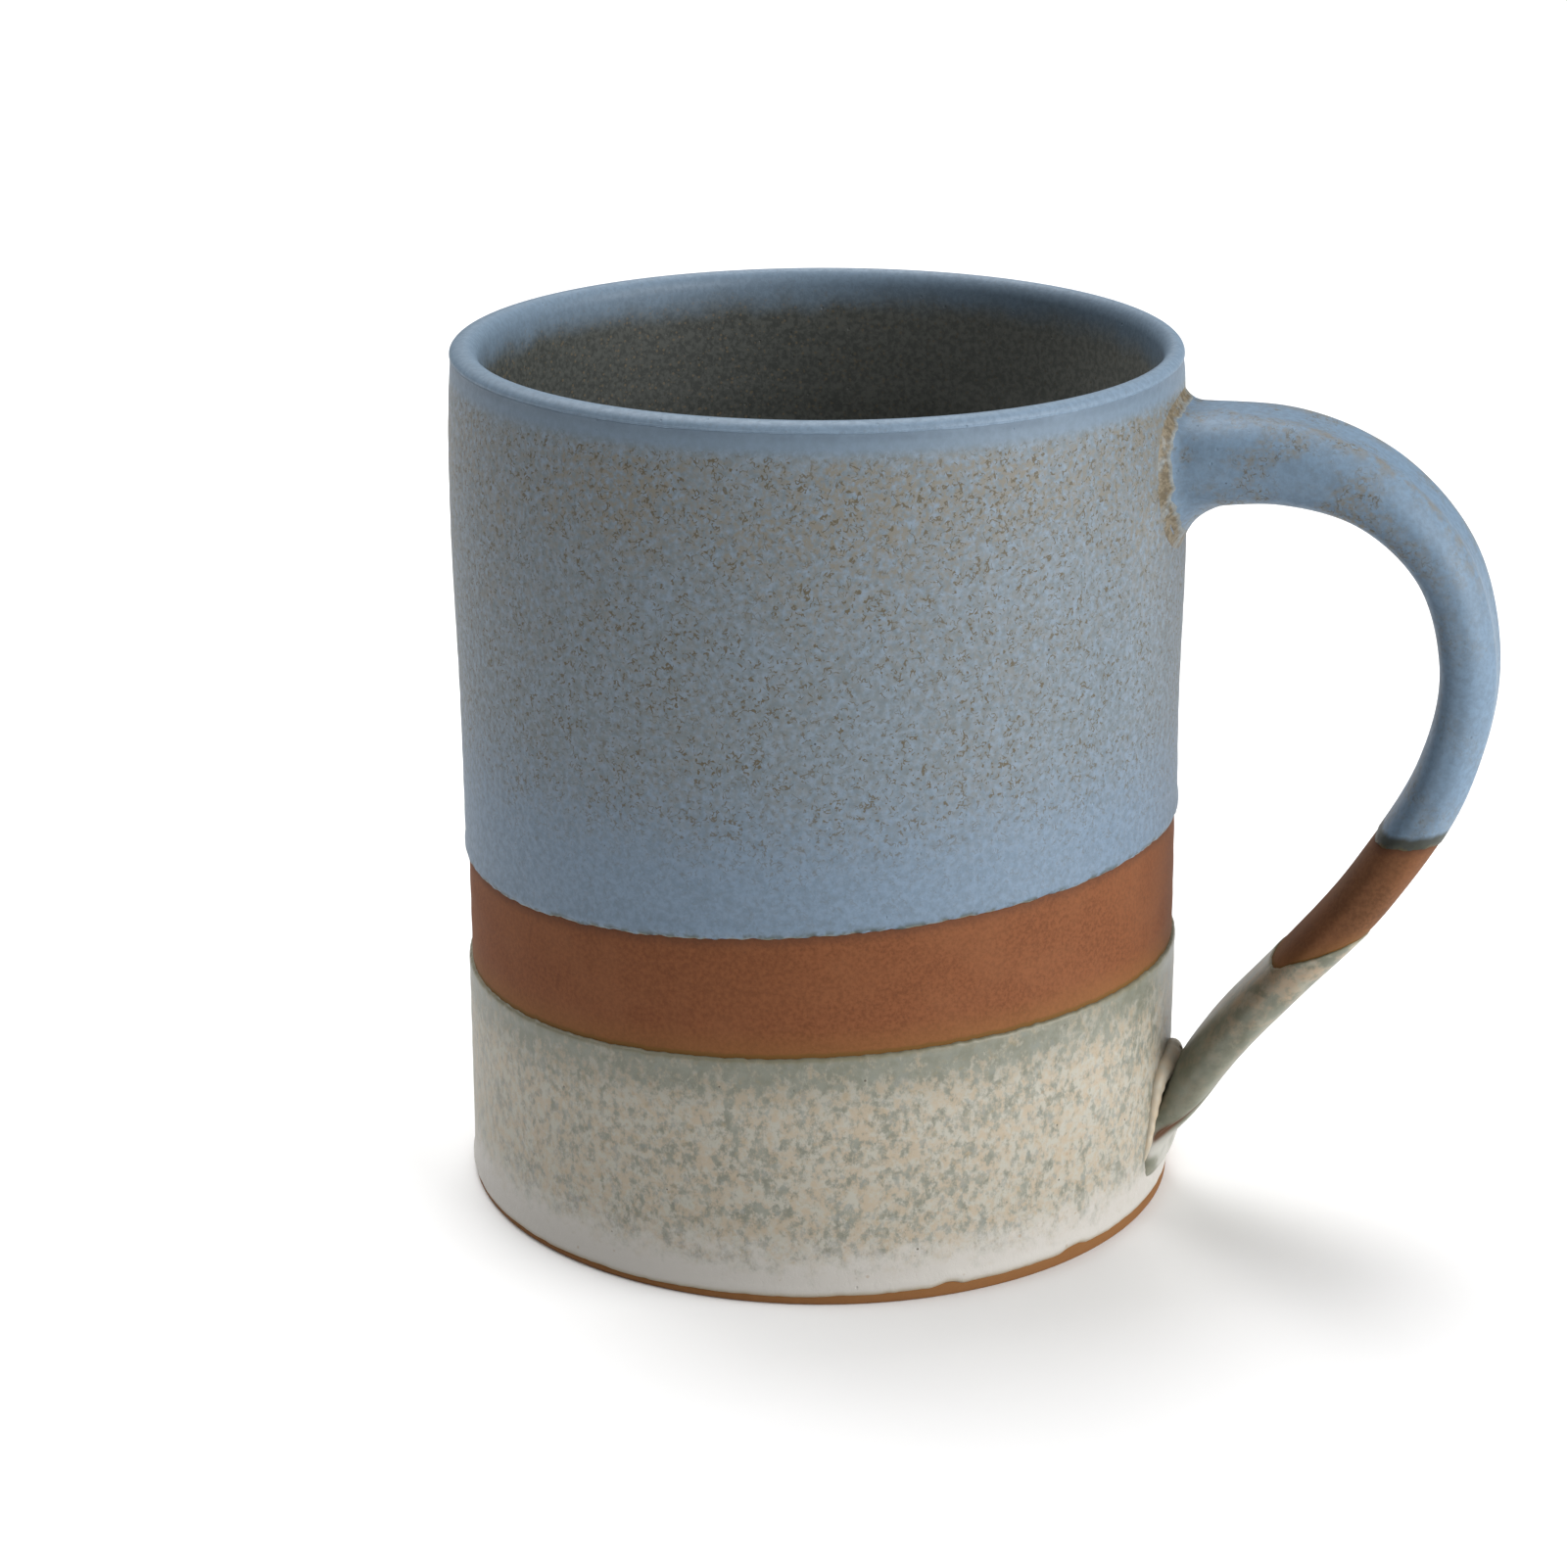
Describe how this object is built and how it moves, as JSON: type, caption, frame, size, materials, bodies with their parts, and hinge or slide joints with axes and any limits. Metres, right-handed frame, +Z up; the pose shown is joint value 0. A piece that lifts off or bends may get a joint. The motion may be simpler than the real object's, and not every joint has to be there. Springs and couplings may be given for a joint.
{
  "type": "handled mug",
  "caption": "Straight-sided stoneware mug with a pulled strap handle, blue and cream glaze coats and a bare clay band.",
  "frame": {"origin": "centre of the flat base, on the axis that the wall was turned about", "axes": "+Z up along the wall's axis, +X out through the middle of the handle"},
  "size_m": [0.117, 0.082, 0.098],
  "materials": {
    "bare_clay": "unglazed red-brown stoneware, matt and slightly gritty",
    "joining_slip": "fired joining slip, matt",
    "blue_glaze": "satin-matt blue glaze with fine brown speckle",
    "cream_glaze": "satin cream and grey-green mottled glaze",
    "liner_glaze": "satin grey-olive liner glaze, blue at the lip"
  },
  "bodies": {
    "root": {"clay_body": "bare_clay", "handle": "bare_clay", "upper_join": "joining_slip", "lower_join": "joining_slip", "liner_glaze": "liner_glaze", "blue_glaze_wall": "blue_glaze", "blue_glaze_handle": "blue_glaze", "cream_glaze_wall": "cream_glaze", "cream_glaze_handle": "cream_glaze"}
  },
  "joints": []
}
